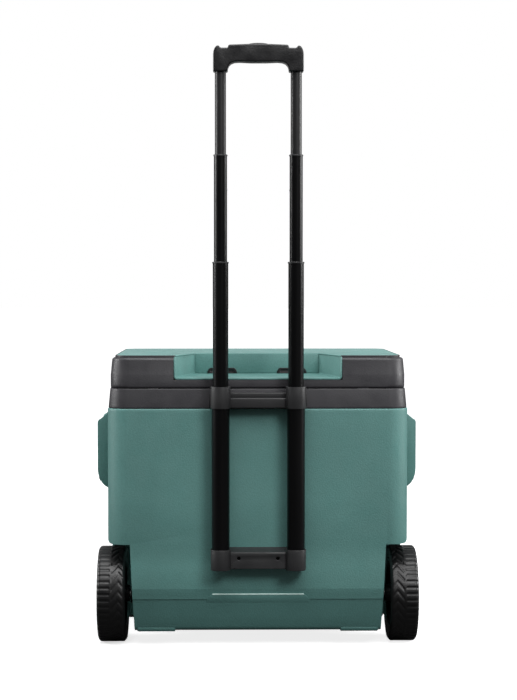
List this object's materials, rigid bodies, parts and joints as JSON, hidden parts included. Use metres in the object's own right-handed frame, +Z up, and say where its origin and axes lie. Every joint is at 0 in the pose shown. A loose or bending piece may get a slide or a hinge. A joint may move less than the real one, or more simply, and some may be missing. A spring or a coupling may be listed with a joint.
{
  "type": "wheeled cooler",
  "caption": "Insulated tub cooler on wheels with a hinged lid, latches, swing-up carry handles, a drain and a telescoping pull handle behind a bay in the lid.",
  "frame": {"origin": "on the floor, under the middle of the overall box", "axes": "+Z up, +Y towards the pull handle, -Y towards the latches, +X towards the drain's side"},
  "size_m": [0.596, 0.476, 1.0879],
  "materials": {
    "shell_green": "satin",
    "charcoal_plastic": "satin",
    "liner_white": "satin",
    "foam": "matte",
    "black_plastic": "satin",
    "tube_black": "satin",
    "tyre_rubber": "matte",
    "latch_rubber": "matte",
    "black_steel": "satin",
    "steel": "satin"
  },
  "bodies": {
    "tub": {"outer_shell": "shell_green", "insulation_foam": "foam", "inner_liner": "liner_white", "rim_collar": "charcoal_plastic", "hinge_block_left": "charcoal_plastic", "hinge_block_right": "charcoal_plastic", "hinge_pin_left": "steel", "hinge_pin_right": "steel", "latch_keeper_left": "charcoal_plastic", "latch_keeper_right": "charcoal_plastic", "drain_fitting": "liner_white", "front_foot_left": "charcoal_plastic", "front_foot_right": "charcoal_plastic", "axle_bush_left": "black_plastic", "axle_bush_right": "black_plastic", "axle_left": "steel", "axle_right": "steel", "upper_bracket": "charcoal_plastic", "lower_bracket": "charcoal_plastic", "lower_bracket_screw_left": "black_steel", "lower_bracket_screw_right": "black_steel", "outer_tube_left": "tube_black", "outer_tube_right": "tube_black"},
    "lid": {"lid_shell": "charcoal_plastic", "lid_insert": "shell_green", "lid_liner": "liner_white", "lid_foam": "foam", "lid_outlet_left": "black_plastic", "lid_outlet_right": "black_plastic", "latch_pin_left": "steel", "latch_pin_right": "steel"},
    "latch_strap_left": {"latch_left": "latch_rubber"},
    "latch_strap_right": {"latch_right": "latch_rubber"},
    "carry_bail_left": {"carry_handle_left": "charcoal_plastic"},
    "carry_bail_right": {"carry_handle_right": "charcoal_plastic"},
    "wheel_left": {"tyre_left": "tyre_rubber", "wheel_rim_left": "black_plastic", "hub_cap_left": "black_plastic"},
    "wheel_right": {"tyre_right": "tyre_rubber", "wheel_rim_right": "black_plastic", "hub_cap_right": "black_plastic"},
    "drain_cap": {"drain_plug": "charcoal_plastic"},
    "lower_stage": {"lower_tube_left": "tube_black", "lower_tube_right": "tube_black", "lower_glide_left": "black_plastic", "lower_glide_right": "black_plastic"},
    "middle_stage": {"middle_tube_left": "tube_black", "middle_tube_right": "tube_black", "middle_glide_left": "black_plastic", "middle_glide_right": "black_plastic"},
    "upper_stage": {"upper_tube_left": "tube_black", "upper_tube_right": "tube_black", "upper_glide_left": "black_plastic", "upper_glide_right": "black_plastic", "grip": "black_plastic", "button_spring": "steel"},
    "button": {"release_button": "black_plastic", "release_rod_left": "steel", "release_rod_right": "steel"}
  },
  "joints": [
    {"name": "lid_hinge", "type": "hinge", "parent": "tub", "child": "lid", "pos_m": [0, 0.181, 0.4783], "axis": [-1, 0, 0], "range_deg": [0, 76]},
    {"name": "latch_left_hinge", "type": "hinge", "parent": "lid", "child": "latch_strap_left", "pos_m": [0.12, -0.231, 0.494], "axis": [-1, 0, 0], "range_deg": [0, 110]},
    {"name": "latch_right_hinge", "type": "hinge", "parent": "lid", "child": "latch_strap_right", "pos_m": [-0.12, -0.231, 0.494], "axis": [-1, 0, 0], "range_deg": [0, 110]},
    {"name": "carry_left_hinge", "type": "hinge", "parent": "tub", "child": "carry_bail_left", "pos_m": [0.287, -0.0155, 0.398], "axis": [0, -1, 0], "range_deg": [0, 105]},
    {"name": "carry_right_hinge", "type": "hinge", "parent": "tub", "child": "carry_bail_right", "pos_m": [-0.287, -0.0155, 0.398], "axis": [0, 1, 0], "range_deg": [0, 105]},
    {"name": "wheel_left_axle", "type": "hinge", "parent": "tub", "child": "wheel_left", "pos_m": [0.265, 0.104, 0.088], "axis": [1, 0, 0], "continuous": true},
    {"name": "wheel_right_axle", "type": "hinge", "parent": "tub", "child": "wheel_right", "pos_m": [-0.265, 0.104, 0.088], "axis": [1, 0, 0], "continuous": true},
    {"name": "drain_turn", "type": "hinge", "parent": "tub", "child": "drain_cap", "pos_m": [0.28, -0.15, 0.086], "axis": [1, 0, 0], "range_deg": [0, 90]},
    {"name": "lower_slide", "type": "slide", "parent": "tub", "child": "lower_stage", "axis": [0, 0, 1], "range_m": [-0.218, 0]},
    {"name": "middle_slide", "type": "slide", "parent": "lower_stage", "child": "middle_stage", "axis": [0, 0, 1], "range_m": [-0.187, 0]},
    {"name": "upper_slide", "type": "slide", "parent": "middle_stage", "child": "upper_stage", "axis": [0, 0, 1], "range_m": [-0.146, 0]},
    {"name": "button_press", "type": "slide", "parent": "upper_stage", "child": "button", "axis": [0, 0, -1], "range_m": [0, 0.005], "stiffness_N_per_m": 400, "springref_m": -0.004, "deforming": ["button_spring"]}
  ]
}
